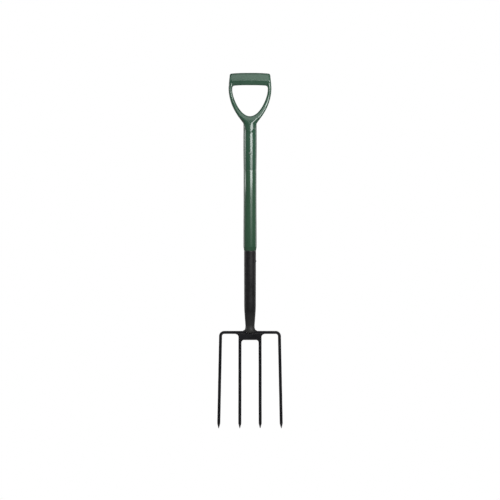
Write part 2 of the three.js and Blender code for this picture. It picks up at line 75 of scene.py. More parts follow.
# Rings of points joined one to the next. A looped loft closes on itself, and any other one gets end caps.
def loft(name, rings, looped=False):
    count = len(rings[0])
    points = [p for ring in rings for p in ring]
    faces = []
    last = len(rings) if looped else len(rings) - 1
    for r in range(last):
        a, b = r * count, ((r + 1) % len(rings)) * count
        for i in range(count):
            j = (i + 1) % count
            faces.append((a + i, a + j, b + j, b + i))
    if not looped:
        faces.append(tuple(range(count))[::-1])
        faces.append(tuple(range((len(rings) - 1) * count, len(rings) * count)))
    return meshObject(name, points, faces)


def turned(name, profile, segments, looped=True):
    rings = []
    for radius, z in profile:
        turns = [2 * math.pi * i / segments for i in range(segments)]
        rings.append([(radius * math.cos(t), radius * math.sin(t), z) for t in turns])
    return loft(name, rings, looped)


def bezier(p0, p1, p2, p3, steps):
    points = []
    for i in range(steps + 1):
        t = i / steps
        s = 1 - t
        weights = (s ** 3, 3 * s * s * t, 3 * s * t * t, t ** 3)
        points.append(tuple(sum(w * p[k] for w, p in zip(weights, (p0, p1, p2, p3))) for k in range(2)))
    return points


def quadratic(p0, p1, p2, steps):
    lift = lambda a: tuple(a[k] + 2 / 3 * (p1[k] - a[k]) for k in range(2))
    return bezier(p0, lift(p0), lift(p2), p2, steps)


def arcPoints(x, y, radius, start, end, steps):
    turns = [start + (end - start) * i / steps for i in range(steps + 1)]
    return [(x + radius * math.cos(t), y + radius * math.sin(t)) for t in turns]


# A profile whose corners are each cut back and rounded.
def softened(profile, radius, steps=4, looped=True):
    out = []
    count = len(profile)
    for i, point in enumerate(profile):
        if not looped and i in (0, count - 1):
            out.append(point)
            continue
        here = Vector(point)
        before, after = Vector(profile[i - 1]), Vector(profile[(i + 1) % count])
        cutBack = min(radius, (before - here).length * 0.45, (after - here).length * 0.45)
        start = here + (before - here).normalized() * cutBack
        end = here + (after - here).normalized() * cutBack
        out += quadratic(start, here, end, steps)
    return out


def settle(piece):
    graph = bpy.context.evaluated_depsgraph_get()
    mesh = bpy.data.meshes.new_from_object(piece.evaluated_get(graph))
    piece.modifiers.clear()
    old = piece.data
    piece.data = mesh
    bpy.data.meshes.remove(old)
    return piece


def discard(piece):
    mesh = piece.data
    bpy.data.objects.remove(piece)
    bpy.data.meshes.remove(mesh)


# Several shells in one mesh, ready to be melted together by remeshing.
def gathered(name, shells):
    joined = bmesh.new()
    for shell in shells:
        joined.from_mesh(shell.data)
        discard(shell)
    mesh = bpy.data.meshes.new(name)
    joined.to_mesh(mesh)
    joined.free()
    piece = bpy.data.objects.new(name, mesh)
    scene.collection.objects.link(piece)
    return piece


def remeshed(piece, voxel):
    grid = piece.modifiers.new("grid", "REMESH")
    grid.mode = "VOXEL"
    grid.voxel_size = voxel * mm
    return settle(piece)


# Softens a shape all over, or only where a rule gives a weight.
def relaxed(piece, rounds, where=None):
    soft = piece.modifiers.new("soft", "SMOOTH")
    soft.factor = 0.5
    soft.iterations = rounds
    if where:
        group = piece.vertex_groups.new(name="soft")
        for vertex in piece.data.vertices:
            weight = where(vertex.co / mm)
            if weight > 0.01:
                group.add([vertex.index], weight, "REPLACE")
        soft.vertex_group = "soft"
    settle(piece)
    piece.vertex_groups.clear()
    return piece


def combined(piece, other, operation):
    step = piece.modifiers.new("cut", "BOOLEAN")
    step.operation = operation
    step.solver = "MANIFOLD"
    step.object = other
    settle(piece)
    discard(other)
    return piece


def moved(piece, rule):
    for vertex in piece.data.vertices:
        vertex.co = Vector(rule(vertex.co / mm)) * mm
    return piece


def boxShell(name, low, high):
    corners = [(x, y, z) for z in (low[2], high[2]) for y in (low[1], high[1]) for x in (low[0], high[0])]
    faces = [(0, 2, 3, 1), (4, 5, 7, 6), (0, 1, 5, 4), (2, 6, 7, 3), (0, 4, 6, 2), (1, 3, 7, 5)]
    return meshObject(name, corners, faces)


def smoothstep(value, low, high):
    t = min(1, max(0, (value - low) / (high - low)))
    return t * t * (3 - 2 * t)


def mixed(a, b, t):
    return a + (b - a) * t


# A finished piece: shading, material, the body that it rides on and the nodes that it stands for.
def finished(piece, material, slotName, *stoodFor, sharpAngle=35):
    piece.data.materials.clear()
    piece.data.materials.append(material)
    piece.data.shade_smooth()
    piece.data.set_sharp_from_angle(angle=math.radians(sharpAngle))
    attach(piece, "root")
    if stoodFor:
        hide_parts(*stoodFor)
    return piece


# Evens out the shading of a remeshed skin, up to its sharp edges.
def evened(piece, rounds):
    mesh = piece.data
    ends = np.zeros(len(mesh.edges) * 2, dtype=int)
    mesh.edges.foreach_get("vertices", ends)
    ends = ends.reshape(-1, 2)
    soft = np.zeros(len(mesh.vertices) * 3)
    mesh.vertices.foreach_get("normal", soft)
    soft = soft.reshape(-1, 3)
    creased = np.zeros(len(mesh.vertices), dtype=bool)
    sharp = np.array([edge.use_edge_sharp for edge in mesh.edges])
    creased[ends[sharp].ravel()] = True
    smooth = ends[~creased[ends].any(axis=1)]
    for _ in range(rounds):
        total = soft.copy()
        np.add.at(total, smooth[:, 0], soft[smooth[:, 1]])
        np.add.at(total, smooth[:, 1], soft[smooth[:, 0]])
        soft = total / np.linalg.norm(total, axis=1, keepdims=True)
    corners = np.array([corner.vector[:] for corner in mesh.corner_normals])
    owners = np.zeros(len(mesh.loops), dtype=int)
    mesh.loops.foreach_get("vertex_index", owners)
    even = np.where(creased[owners][:, None], corners, soft[owners])
    mesh.normals_split_custom_set(even.tolist())
    return piece


class Recipe:
    # A small builder for node materials, so that each finish reads as a list of its own layers.
    def __init__(self, name):
        self.material = bpy.data.materials.new(name)
        self.material.use_nodes = True
        self.tree = self.material.node_tree
        self.shader = self.tree.nodes["Principled BSDF"]
        self.place = self.add("ShaderNodeTexCoord").outputs["Object"]

    def add(self, kind, **settings):
        node = self.tree.nodes.new(kind)
        for key, value in settings.items():
            setattr(node, key, value)
        return node

    def put(self, value, socket):
        if isinstance(value, bpy.types.NodeSocket):
            self.tree.links.new(value, socket)
        else:
            socket.default_value = value

    def stretched(self, scale):
        node = self.add("ShaderNodeMapping")
        self.put(self.place, node.inputs["Vector"])
        node.inputs["Scale"].default_value = scale
        return node.outputs["Vector"]

    # Speckle of the given grain in millimetres.
    def cloud(self, grain, detail=3.0, roughness=0.55, stretch=(1, 1, 1)):
        node = self.add("ShaderNodeTexNoise")
        self.put(self.stretched(stretch), node.inputs["Vector"])
        node.inputs["Scale"].default_value = 1000 / grain
        node.inputs["Detail"].default_value = detail
        node.inputs["Roughness"].default_value = roughness
        return node.outputs["Fac"]

    def pits(self, grain):
        node = self.add("ShaderNodeTexVoronoi", feature="SMOOTH_F1")
        self.put(self.place, node.inputs["Vector"])
        node.inputs["Scale"].default_value = 1000 / grain
        return node.outputs["Distance"]

    def spread(self, value, fromLow, fromHigh, toLow, toHigh):
        node = self.add("ShaderNodeMapRange")
        for socket, number in zip(list(node.inputs)[:5], (value, fromLow, fromHigh, toLow, toHigh)):
            self.put(number, socket)
        return node.outputs["Result"]

    def sum(self, a, b, operation="ADD"):
        node = self.add("ShaderNodeMath", operation=operation)
        self.put(a, node.inputs[0])
        self.put(b, node.inputs[1])
        return node.outputs[0]

    def tint(self, amount, low, high):
        node = self.add("ShaderNodeMix", data_type="RGBA")
        self.put(amount, node.inputs[0])
        self.put((*low, 1), node.inputs[6])
        self.put((*high, 1), node.inputs[7])
        return node.outputs[2]

    def layered(self, amount, under, over):
        node = self.add("ShaderNodeMix", data_type="RGBA")
        self.put(amount, node.inputs[0])
        self.put(under, node.inputs[6])
        self.put((*over, 1), node.inputs[7])
        return node.outputs[2]

    def relief(self, height, depth, strength=1.0, under=None):
        node = self.add("ShaderNodeBump")
        node.inputs["Distance"].default_value = depth * mm
        node.inputs["Strength"].default_value = strength
        self.put(height, node.inputs["Height"])
        if under is not None:
            self.put(under, node.inputs["Normal"])
        return node.outputs["Normal"]

    def finish(self, color, roughness, normal, **fixed):
        self.put(color, self.shader.inputs["Base Color"])
        self.put(roughness, self.shader.inputs["Roughness"])
        self.put(normal, self.shader.inputs["Normal"])
        for key, value in fixed.items():
            self.shader.inputs[key].default_value = value
        return self.material


handlePlastic = {
    "deep": (0.025, 0.077, 0.046),
    "light": (0.034, 0.095, 0.058),
    "gloss": (0.18, 0.24),
    "grain": 0.6,
    "grainDepth": 0.007,
    "specular": 0.7,
}


# Moulded polypropylene: a fine spark-eroded grain, with slow changes of colour where the melt flowed.
def mouldedGreen(name, look):
    m = Recipe(name)
    flow = m.cloud(38, 4.0, stretch=(1, 1, 0.4))
    speckle = m.cloud(look["grain"] * 2.2, 2.0)
    color = m.tint(m.spread(m.sum(flow, m.spread(speckle, 0.3, 0.7, -0.12, 0.12)), 0.3, 0.75, 0, 1),
                   look["deep"], look["light"])
    roughness = m.spread(m.cloud(14, 5.0), 0.35, 0.7, *look["gloss"])
    grain = m.relief(m.cloud(look["grain"], 2.0), look["grainDepth"], 0.6)
    sink = m.relief(m.cloud(22, 2.0), 0.25, 0.25, under=grain)
    return m.finish(color, roughness, sink, **{"Specular IOR Level": look["specular"]})


sleevePlastic = {
    "deep": (0.029, 0.083, 0.046),
    "light": (0.037, 0.096, 0.054),
    "gloss": (0.17, 0.22),
    "specular": 0.7,
}


# Drawn sleeve: long faint die lines down the shaft over a smooth skin.
def drawnGreen(name, look):
    m = Recipe(name)
    dieLines = m.cloud(1.6, 3.0, stretch=(1, 1, 0.012))
    bands = m.cloud(60, 3.0, stretch=(1, 1, 0.5))
    color = m.tint(m.spread(m.sum(bands, m.spread(dieLines, 0.3, 0.7, -0.15, 0.15)), 0.3, 0.75, 0, 1),
                   look["deep"], look["light"])
    roughness = m.spread(m.cloud(9, 4.0, stretch=(1, 1, 0.2)), 0.35, 0.7, *look["gloss"])
    lines = m.relief(dieLines, 0.012, 0.4)
    skin = m.relief(m.cloud(1.1, 3.0), 0.012, 0.5, under=lines)
    return m.finish(color, roughness, skin, **{"Specular IOR Level": look["specular"]})


socketCoat = {
    "deep": (0.010, 0.010, 0.011),
    "light": (0.022, 0.022, 0.023),
    "gloss": (0.34, 0.50),
    "specular": 0.38,
    "peel": 1.3,
    "peelDepth": 0.05,
    "scale": 0.0,
    "wearAndSheen": (0.042, 0.042, 0.040),  # painted highlight and wear: lighter grey in patches towards the foot, where the flare faces up into the light
    "wearAndSheenFrom": -0.64,
    "wearAndSheenTo": -0.69,
}
headCoat = {
    "deep": (0.005, 0.005, 0.007),
    "light": (0.012, 0.012, 0.015),
    "gloss": (0.34, 0.50),
    "specular": 0.35,
    "peel": 1.6,
    "peelDepth": 0.05,
    "scale": 0.05,
}


# Baked black coating: orange peel over the steel below, which shows its forging scale through it.
def blackCoat(name, look):
    m = Recipe(name)
    mottle = m.cloud(11, 5.0)
    dust = m.spread(m.cloud(2.2, 6.0, 0.7), 0.52, 0.75, 0, 0.6)
    color = m.tint(m.sum(m.spread(mottle, 0.35, 0.7, 0, 0.7), dust), look["deep"], look["light"])
    # Painted highlight and wear: the coat is painted a lighter grey in patches towards the socket's foot,
    # where the flare faces up into the light.
    if "wearAndSheen" in look:
        split = m.add("ShaderNodeSeparateXYZ")
        m.put(m.place, split.inputs[0])
        foot = m.spread(split.outputs["Z"], look["wearAndSheenFrom"], look["wearAndSheenTo"], 0, 1)
        patches = m.spread(m.cloud(5, 5.0, 0.65, stretch=(1, 1, 0.25)), 0.3, 0.62, 0.45, 1)
        wearAndSheenMask = m.sum(foot, patches, "MULTIPLY")
        color = m.layered(wearAndSheenMask, color, look["wearAndSheen"])
    roughness = m.spread(m.sum(mottle, m.cloud(0.9, 3.0), "MULTIPLY"), 0.15, 0.4, *look["gloss"])
    peel = m.relief(m.cloud(look["peel"], 3.0), look["peelDepth"], 0.55)
    if look["scale"]:
        peel = m.relief(m.pits(5.5), look["scale"], 0.6, under=peel)
    return m.finish(color, roughness, peel, **{"Specular IOR Level": look["specular"]})


bareSteel = {"dark": (0.32, 0.32, 0.33), "bright": (0.58, 0.58, 0.57), "gloss": (0.24, 0.42)}


def drawnSteel(name, look):
    m = Recipe(name)
    scratches = m.cloud(0.7, 4.0, stretch=(1, 1, 0.02))
    color = m.tint(m.spread(scratches, 0.3, 0.7, 0, 1), look["dark"], look["bright"])
    roughness = m.spread(m.cloud(6, 4.0), 0.3, 0.7, *look["gloss"])
    return m.finish(color, roughness, m.relief(scratches, 0.02, 0.5), Metallic=1.0)


coverPlastic = {**handlePlastic, "gloss": (0.29, 0.40), "grainDepth": 0.012}
rivetPaint = {**handlePlastic, "gloss": (0.25, 0.35), "grainDepth": 0.015}
handleGreen = mouldedGreen("handle moulded green", handlePlastic)
coverGreen = mouldedGreen("cover moulded green", coverPlastic)
rivetGreen = mouldedGreen("rivet green paint", rivetPaint)
sleeveGreen = drawnGreen("sleeve drawn green", sleevePlastic)
socketBlack = blackCoat("socket black coat", socketCoat)
headBlack = blackCoat("head black coat", headCoat)
weldBlack = blackCoat("weld black coat", {**headCoat, "peelDepth": 0.05, "gloss": (0.28, 0.45)})
steel = drawnSteel("drawn steel", bareSteel)
print("materials ready")


grip = {
    "height": 35.0,
    "halfDepth": 16.0,
    "halfLength": 61.0,
    "landHalfDepth": 7.0,
    "landHalfLength": 10.0,
    "parting": 13.0,
    "archRadius": 480.0,
    "endRound": 4.0,
    "endLean": 0.11,
    "wall": 2.8,
    "coverHalfLength": 52.3,
    "tongue": (4.0, 1.8),  # depth and thickness of the cover's inner lip
    "gap": 0.3,
    "coverEdge": 0.7,  # rounding at the ends of the cover
    "seam": 0.2,  # the moulder's gap that is left between cover and channel
    "endSeam": 0.01,
    "lipHeight": 0.6,  # above the seam, where the cover's own wall begins
    "lipRound": ((0.3, 0.0), (0.05, 0.2)),  # inwards and upwards from the lip's outer corner
    "tongueStop": 0.1,
    "coverDetail": 12,
    "coverEdgeSteps": 5,
    "coverRun": (51, 2),  # half length and spacing of the rings between the rounded ends
    "hullRun": (54, 3),
    "endSteps": 8,
    "room": (30.0, 60.0),  # half width and top of the space cut out above the channel
    "keelPull": (0.75, 0.42),
    "endKeelPull": (0.86, 0.18),
}


def gripSection(inset, pull=grip["keelPull"], detail=10):
    side = grip["halfDepth"] - inset
    land = grip["landHalfDepth"] - inset / 2
    parting = grip["parting"]
    dome = grip["height"] - parting - inset
    bulge = (side * pull[0], inset + parting * pull[1])
    right = quadratic((land, inset), bulge, (side, parting), detail)
    turns = [math.pi * i / (4 * detail) for i in range(1, 4 * detail)]
    over = [(side * math.cos(t), parting + dome * math.sin(t)) for t in turns]
    left = [(-y, z) for y, z in reversed(right)]
    return right + over + left


def archDrop(x):
    beyond = max(0, abs(x) - grip["landHalfLength"])
    return beyond * beyond / (2 * grip["archRadius"])


def arched(piece):
    return moved(piece, lambda p: (p.x, p.y, p.z - archDrop(p.x)))


def gripRun(name, section, halfLength, steps=60):
    stations = [mixed(-halfLength, halfLength, i / steps) for i in range(steps + 1)]
    return arched(loft(name, [[(x, y, z) for y, z in section] for x in stations]))


def rectangleRun(name, halfWidth, bottom, top, halfLength):
    section = [(-halfWidth, bottom), (halfWidth, bottom), (halfWidth, top), (-halfWidth, top)]
    return gripRun(name, section, halfLength)


def gripHull():
    roundness, length = grip["endRound"], grip["halfLength"]
    rings = []
    steps = grip["endSteps"]
    ends = [(length - roundness + roundness * math.sin(math.pi / 2 * i / steps),
             roundness - roundness * math.cos(math.pi / 2 * i / steps)) for i in range(steps + 1)]
    run, spacing = grip["hullRun"]
    middle = [(x, 0) for x in range(-run, run + 1, spacing)]
    stations = [(-x, inset) for x, inset in reversed(ends)] + middle + ends
    for x, inset in stations:
        ring = []
        for y, z in gripSection(inset * 0.999, grip["endKeelPull"]):
            lean = 1 - grip["endLean"] * max(0, z) / length
            ring.append((x * lean, y, z))
        rings.append(ring)
    return arched(loft("grip hull", rings))


# The keel between the arms is cut under, at the front and at the back.
def keelUndercut(side):
    land, deep, parting = grip["landHalfDepth"], grip["halfDepth"], grip["parting"]
    pull = (deep * grip["keelPull"][0], parting * grip["keelPull"][1])
    section = [(land, 0), (2 * deep, 0), (2 * deep, parting)]
    section += quadratic((deep, parting), pull, (land, 0), 10)
    section = section[:-1] if side > 0 else [(-y, z) for y, z in reversed(section[:-1])]
    return gripRun("undercut", section, yoke["holeHalfWidth"] + 0.4)


yoke = {
    "armHalfSpan": 61.2,
    "armTop": -5.0,
    "armPull": 64.3,
    "shoulder": -110.0,
    "waist": 19.05,
    "waistPull": 7.7,
    "point": -138.5,
    "noseHalfWidth": 5.5,
    "noseRise": 2.5,
    "holeHalfWidth": 50.4,
    "holeBottom": -88.0,
    "holeShoulder": -12.0,
    "holeSidePull": 23.2,
    "holeBottomPull": 28.5,
    "holeCorner": 7.0,
    "edgeRound": 5.0,
    "armHalfDepth": 10.5,
    "armFlat": 0.35,  # half the flat left in the middle of an arm's side
    "armTopHalfDepth": 14.8,
    "flareFrom": -38.0,
    "crown": 0.16,  # how much an arm's face rises from its edges to its middle
    "squareness": 3.4,  # of an arm's corners
    "slimFrom": -50.0,
    "stemRise": 0.5,
    "roundHalfWidth": 21.6,  # of the oval that the V's front and back follow
    "roundLean": 0.9,
    "roundStart": -114.0,
    "roundOpening": (24.0, 12.0),  # height above the start, and how far it has opened by there
    "roundHeight": 54.0,
    "roundSteps": 28,
    "noseBend": (14.0, 17.0),  # outwards, and below the shoulder, where the V turns to its nose
    "rootInset": (1.4, 2.9),  # of the arms inside the grip, at its land and at their tops
    "rootTop": 17.6,
    "voxel": 1.1,
}
stem = {
    "radius": 18.85,
    "endRadius": 18.3,
    "taper": 56.0,
    "shoulderRise": 20.0,
    "shoulderDrop": 6.0,
    "bore": 15.2,
    "boreTop": -127.0,
    "spare": 3.0,  # length below the stem's end, which is trimmed off again
}


def mirroredLoop(right):
    left = [(-x, z) for x, z in reversed(right)]
    loop = []
    for point in right + left:
        if not loop or math.dist(point, loop[-1]) > 0.01:
            loop.append(point)
    if math.dist(loop[0], loop[-1]) < 0.01:
        loop.pop()
    return loop


def yokeOutline():
    y = yoke
    right = [(0, y["point"])]
    nose = (y["noseHalfWidth"], y["point"] + y["noseRise"])
    bendOut, bendDown = y["noseBend"]
    right += quadratic(nose, (bendOut, y["shoulder"] - bendDown), (y["waist"], y["shoulder"]), 12)
    right += bezier((y["waist"], y["shoulder"]), (y["waist"], y["shoulder"] + y["waistPull"]),
                    (y["armHalfSpan"], y["armTop"] - y["armPull"]), (y["armHalfSpan"], y["armTop"]), 60)
    atLand, atTop = y["rootInset"]
    right += [(grip["halfLength"] - atLand, 0), (grip["halfLength"] - atTop, y["rootTop"])]
    right += [(0, y["rootTop"])]
    return mirroredLoop(right)


def handHole():
    y = yoke
    cornerX = y["holeHalfWidth"] - y["holeCorner"]
    cornerZ = -archDrop(cornerX) - y["holeCorner"]
    right = bezier((0, y["holeBottom"]), (y["holeBottomPull"], y["holeBottom"]),
                   (y["holeHalfWidth"], y["holeShoulder"] - y["holeSidePull"]),
                   (y["holeHalfWidth"], y["holeShoulder"]), 60)
    right += arcPoints(cornerX, cornerZ, y["holeCorner"], 0, math.pi / 2, 8)
    right += [(0, 1.0)]
    return mirroredLoop(right)


# A flat outline with holes, given depth and evenly rounded edges on both sides.
def roundedPlate(name, loops, halfDepth, edgeRound):
    curve = bpy.data.curves.new(name, "CURVE")
    curve.dimensions = "2D"
    curve.fill_mode = "BOTH"
    for loop in loops:
        spline = curve.splines.new("POLY")
        spline.points.add(len(loop) - 1)
        for point, (x, z) in zip(spline.points, loop):
            point.co = (x * mm, z * mm, 0, 1)
        spline.use_cyclic_u = True
    curve.extrude = (halfDepth - edgeRound) * mm
    curve.bevel_depth = edgeRound * mm
    curve.bevel_resolution = 5
    curve.offset = -edgeRound * mm
    holder = bpy.data.objects.new(name, curve)
    scene.collection.objects.link(holder)
    graph = bpy.context.evaluated_depsgraph_get()
    mesh = bpy.data.meshes.new_from_object(holder.evaluated_get(graph))
    bpy.data.objects.remove(holder)
    bpy.data.curves.remove(curve)
    weld = bmesh.new()
    weld.from_mesh(mesh)
    bmesh.ops.remove_doubles(weld, verts=weld.verts, dist=0.001 * mm)
    weld.to_mesh(mesh)
    weld.free()
    piece = bpy.data.objects.new(name, mesh)
    scene.collection.objects.link(piece)
    return moved(piece, lambda p: (p.x, -p.z, p.y))


# The arms are slimmest halfway. They deepen to the grip and into the yoke, where the V stands
# just proud of the stem.
def yokeDepth(z):
    slim = smoothstep(z, yoke["shoulder"] - 3, yoke["slimFrom"])
    depth = mixed(stem["radius"] + yoke["stemRise"], yoke["armHalfDepth"], slim)
    flare = smoothstep(z, yoke["flareFrom"], 0)
    return depth * mixed(1, yoke["armTopHalfDepth"] / yoke["armHalfDepth"], flare)


def yokePlate():
    flat = yoke["edgeRound"] + yoke["armFlat"]
    plate = roundedPlate("yoke plate", [yokeOutline(), handHole()], flat, yoke["edgeRound"])
    plate = remeshed(plate, yoke["voxel"])

    # A round edge becomes a crowned face with tighter corners.
    def crowned(p):
        share = min(1, abs(p.y) / flat)
        across = math.sqrt(1 - share * share)
        corner = (1 - across ** yoke["squareness"]) ** (1 / yoke["squareness"])
        depth = yokeDepth(p.z) * (1 - yoke["crown"] * across * across) * corner
        return (p.x, math.copysign(depth, p.y), p.z)

    return combined(moved(plate, crowned), yokeRound(), "INTERSECT")


# The V is round in front and behind like the stem, and runs out into the arms.
def yokeRound():
    width, start = yoke["roundHalfWidth"], yoke["roundStart"]
    rise, opening = yoke["roundOpening"]
    profile = [(width, stemEndZ)]
    for i in range(yoke["roundSteps"]):
        height = yoke["roundHeight"] * i / (yoke["roundSteps"] - 1)
        profile.append((width + opening * (height / rise) ** 2, start + height))
    profile.append((profile[-1][0], grip["height"]))
    oval = turned("yoke_round", profile, 128, looped=False)
    return moved(oval, lambda p: (p.x, p.y * yoke["roundLean"], p.z))


def stemShell():
    top = yoke["shoulder"] - stem["shoulderDrop"]
    profile = [(stem["endRadius"], stemEndZ - stem["spare"]), (stem["radius"], stemEndZ + stem["taper"])]
    for i in range(1, 14):
        turn = math.pi / 2 * i / 14
        profile.append((stem["radius"] * math.cos(turn), top + stem["shoulderRise"] * math.sin(turn)))
    return turned("stem", profile, 96, looped=False)


# A plain rod between two points along an axis, used to cut holes and seats.
def rod(name, radius, start, end, z, alongX=False):
    piece = turned(name, [(radius, start), (radius, end)], 48, looped=False)
    if alongX:
        return moved(piece, lambda p: (p.z, p.y, z - p.x))
    return moved(piece, lambda p: (p.x, -p.z, z + p.y))


handle = {
    "voxel": 0.9,
    "fineVoxel": 0.75,
    "softening": 8,  # rounds of smoothing over all of it
    "armTopSoftening": 90,
    "armTopAcross": (49.5, 53.5),  # distances from the middle between which that smoothing sets in
    "armTopAlong": (9.0, 17.0),  # distances from armTopZ between which it fades out
    "armTopZ": -4.0,
    "trueGap": 3.0,  # below the V's point, where the turned part begins
    "trueWithin": 0.5,
    "reach": 40.0,  # of the cutting shapes, past the surface
    "trimDepth": 20.0,
    "boreSpare": 9.0,
    "rivetHole": 2.7,
    "rivetSeat": 4.3,
    "seatDepth": 0.8,
    "evening": 14,  # rounds that even out the shading
}


# The arms' tops melt into the ends of the grip.
def atArmTops(p):
    across = smoothstep(abs(p.x), *handle["armTopAcross"])
    return across * (1 - smoothstep(abs(p.z - handle["armTopZ"]), *handle["armTopAlong"]))


def buildHandle():
    body = remeshed(gathered("handle_body", [gripHull(), yokePlate(), stemShell()]), handle["voxel"])
    body = combined(body, keelUndercut(1), "DIFFERENCE")
    body = combined(body, keelUndercut(-1), "DIFFERENCE")
    body = relaxed(remeshed(body, handle["fineVoxel"]), handle["softening"])
    body = relaxed(body, handle["armTopSoftening"], atArmTops)
    rivetZ = (handleRivetLow.z + handleRivetHigh.z) / 2

    # The turned part of the stem is brought back to its true radius.
    def trued(p):
        along = (p.z - stemEndZ) / stem["taper"]
        truth = mixed(stem["endRadius"], stem["radius"], min(1, max(0, along)))
        out = math.hypot(p.x, p.y)
        if p.z < yoke["point"] - handle["trueGap"] and out > truth - handle["trueWithin"]:
            return (p.x * truth / out, p.y * truth / out, p.z)
        return p

    body = moved(body, trued)
    hollow, reach = grip["coverHalfLength"] + grip["gap"], handle["reach"]
    body = combined(body, gripRun("channel", gripSection(grip["wall"]), hollow), "DIFFERENCE")
    roomWidth, roomTop = grip["room"]
    room = rectangleRun("cover_room", roomWidth, grip["parting"], roomTop, hollow)
    body = combined(body, room, "DIFFERENCE")
    trim = boxShell("trim", (-reach, -reach, stemEndZ - handle["trimDepth"]), (reach, reach, stemEndZ))
    body = combined(body, trim, "DIFFERENCE")
    boreProfile = [(stem["bore"], stemEndZ - handle["boreSpare"]), (stem["bore"], stem["boreTop"])]
    bore = turned("bore", boreProfile, 96, looped=False)
    body = combined(body, bore, "DIFFERENCE")
    body = combined(body, rod("rivet_hole", handle["rivetHole"], 0, reach, rivetZ), "DIFFERENCE")
    seat = rod("rivet_seat", handle["rivetSeat"], stem["radius"] - handle["seatDepth"], reach, rivetZ)
    body = combined(body, seat, "DIFFERENCE")
    piece = finished(body, handleGreen, "handle_plastic", "d_handle", sharpAngle=40)
    return evened(piece, handle["evening"])


# The cover's section is one closed strip: over the outside, back along the inside,
# with a tongue below each seam that reaches down behind the channel's wall.
def coverSection(inset):
    seam = grip["parting"] + grip["seam"]
    depth, thickness = grip["tongue"]
    behind = grip["wall"] + grip["gap"]
    lip = grip["halfDepth"] - inset

    def strip(sectionInset, low, high):
        section = gripSection(sectionInset, detail=grip["coverDetail"])
        return [p for p in section if p[0] > 0 and low < p[1] < high]

    wallFrom = seam + grip["lipHeight"]
    outside = [p for p in gripSection(inset, detail=grip["coverDetail"]) if p[1] > wallFrom]
    inside = [p for p in gripSection(behind + thickness, detail=grip["coverDetail"]) if p[1] > wallFrom]
    inner = strip(behind + thickness, seam - depth, seam)
    outer = strip(behind, seam - depth, seam - grip["tongueStop"])
    corner = [(lip - inwards, seam + upwards) for inwards, upwards in grip["lipRound"]]
    right = inner[::-1] + outer + [(outer[-1][0], seam)] + corner
    left = [(-y, z) for y, z in reversed(right)]
    return right + outside + left + inside[::-1]


def buildCover():
    half = grip["coverHalfLength"] + grip["gap"] - grip["endSeam"]
    edge = grip["coverEdge"]
    steps = grip["coverEdgeSteps"]
    turns = [math.pi / 2 * i / steps for i in range(steps + 1)]
    ends = [(half - edge + edge * math.sin(t), edge * (1 - math.cos(t))) for t in turns]
    run, spacing = grip["coverRun"]
    middle = [(x, 0) for x in range(-run, run + 1, spacing)]
    stations = [(-x, inset) for x, inset in reversed(ends)] + middle + ends
    cap = arched(loft("cover_cap", [[(x, y, z) for y, z in coverSection(inset)] for x, inset in stations]))
    return finished(cap, coverGreen, "handle_plastic", "grip_cover", sharpAngle=35)


buildHandle()
buildCover()
print("handle and cover done")


sleeve = {"radius": 18.25, "footRadius": 18.75, "swell": 146.0, "lip": 11.0, "mouthRadius": 17.0, "edge": 0.3}


def buildSleeve():
    bottom, top = sleeveLow.z, sleeveHigh.z
    lipTop = bottom + sleeve["lip"]
    outside = [(sleeve["mouthRadius"], bottom)]
    outside += [(sleeve["footRadius"] - 0.5, lipTop - 3), (sleeve["footRadius"], lipTop)]
    for i in range(1, 40):
        along = i / 40
        swell = (1 + math.cos(math.pi * along)) / 2
        radius = mixed(sleeve["radius"], sleeve["footRadius"], swell)
        outside.append((radius, lipTop + sleeve["swell"] * along))
    outside.append((sleeve["radius"], top))
    profile = softened([(stem["bore"], bottom), *outside, (stem["bore"], top)], sleeve["edge"], 3)
    piece = turned("sleeve_skin", profile, 128)
    return finished(piece, sleeveGreen, "sleeve_plastic", "shaft_sleeve", sharpAngle=50)


buildSleeve()
for name in ("core_tube", "handle_rivet_mandrel", "socket_rivet_mandrel"):
    nodes[name].data.materials.clear()
    nodes[name].data.materials.append(steel)
print("shaft done")


socket = {
    "mouthRadius": 17.0,
    "barrelRadius": 16.6,
    "taperTop": 65.2,
    "neckTop": 15.2,
    "neckRadius": 13.0,
    "footRadius": 15.5,
    "flatten": 0.74,
    "lap": 6.0,
    "toeReach": 10.5,
    "toeHeight": 9.5,
    "bar": 12.5,
    "gap": 0.3,
    "voxel": 0.9,
    "fineVoxel": 0.7,
    "softening": 4,
    "neckBore": (10.4, 6.0),  # radius, and height above the neck's top
    "taperBore": (14.8, 4.0),
    "boreRise": 80.0,
    "boreSpare": 5.0,
    "slotReach": 60.0,
    "slotDepth": 30.0,
    "rivetHole": 2.7,
    "rivetSeat": 3.9,
    "seatDepth": 0.4,
    "reach": 40.0,
}
crossbarTop = barHigh.z


def pressFoot(p):
    low, high = crossbarTop + socket["neckTop"], crossbarTop + socket["taperTop"]
    return (p.x, p.y * mixed(socket["flatten"], 1, smoothstep(p.z, low, high)), p.z)


def socketBarrel():
    neck, taper = crossbarTop + socket["neckTop"], crossbarTop + socket["taperTop"]
    foot, lapZ = socket["footRadius"], crossbarTop - socket["lap"]
    profile = [
        (foot - 2.5, lapZ), (foot - 0.8, lapZ + 1.2), (foot, lapZ + 3.5), (foot - 0.6, crossbarTop + 3),
        (socket["neckRadius"] + 0.4, crossbarTop + 9), (socket["neckRadius"], neck),
        (socket["neckRadius"] + 1.1, neck + 13), (socket["barrelRadius"] - 0.7, taper - 12),
        (socket["barrelRadius"], taper + 2), (socket["mouthRadius"], socketHigh.z),
    ]
    profile = softened(profile, 9, 5, looped=False)
    return moved(turned("socket_barrel", profile, 96, looped=False), pressFoot)


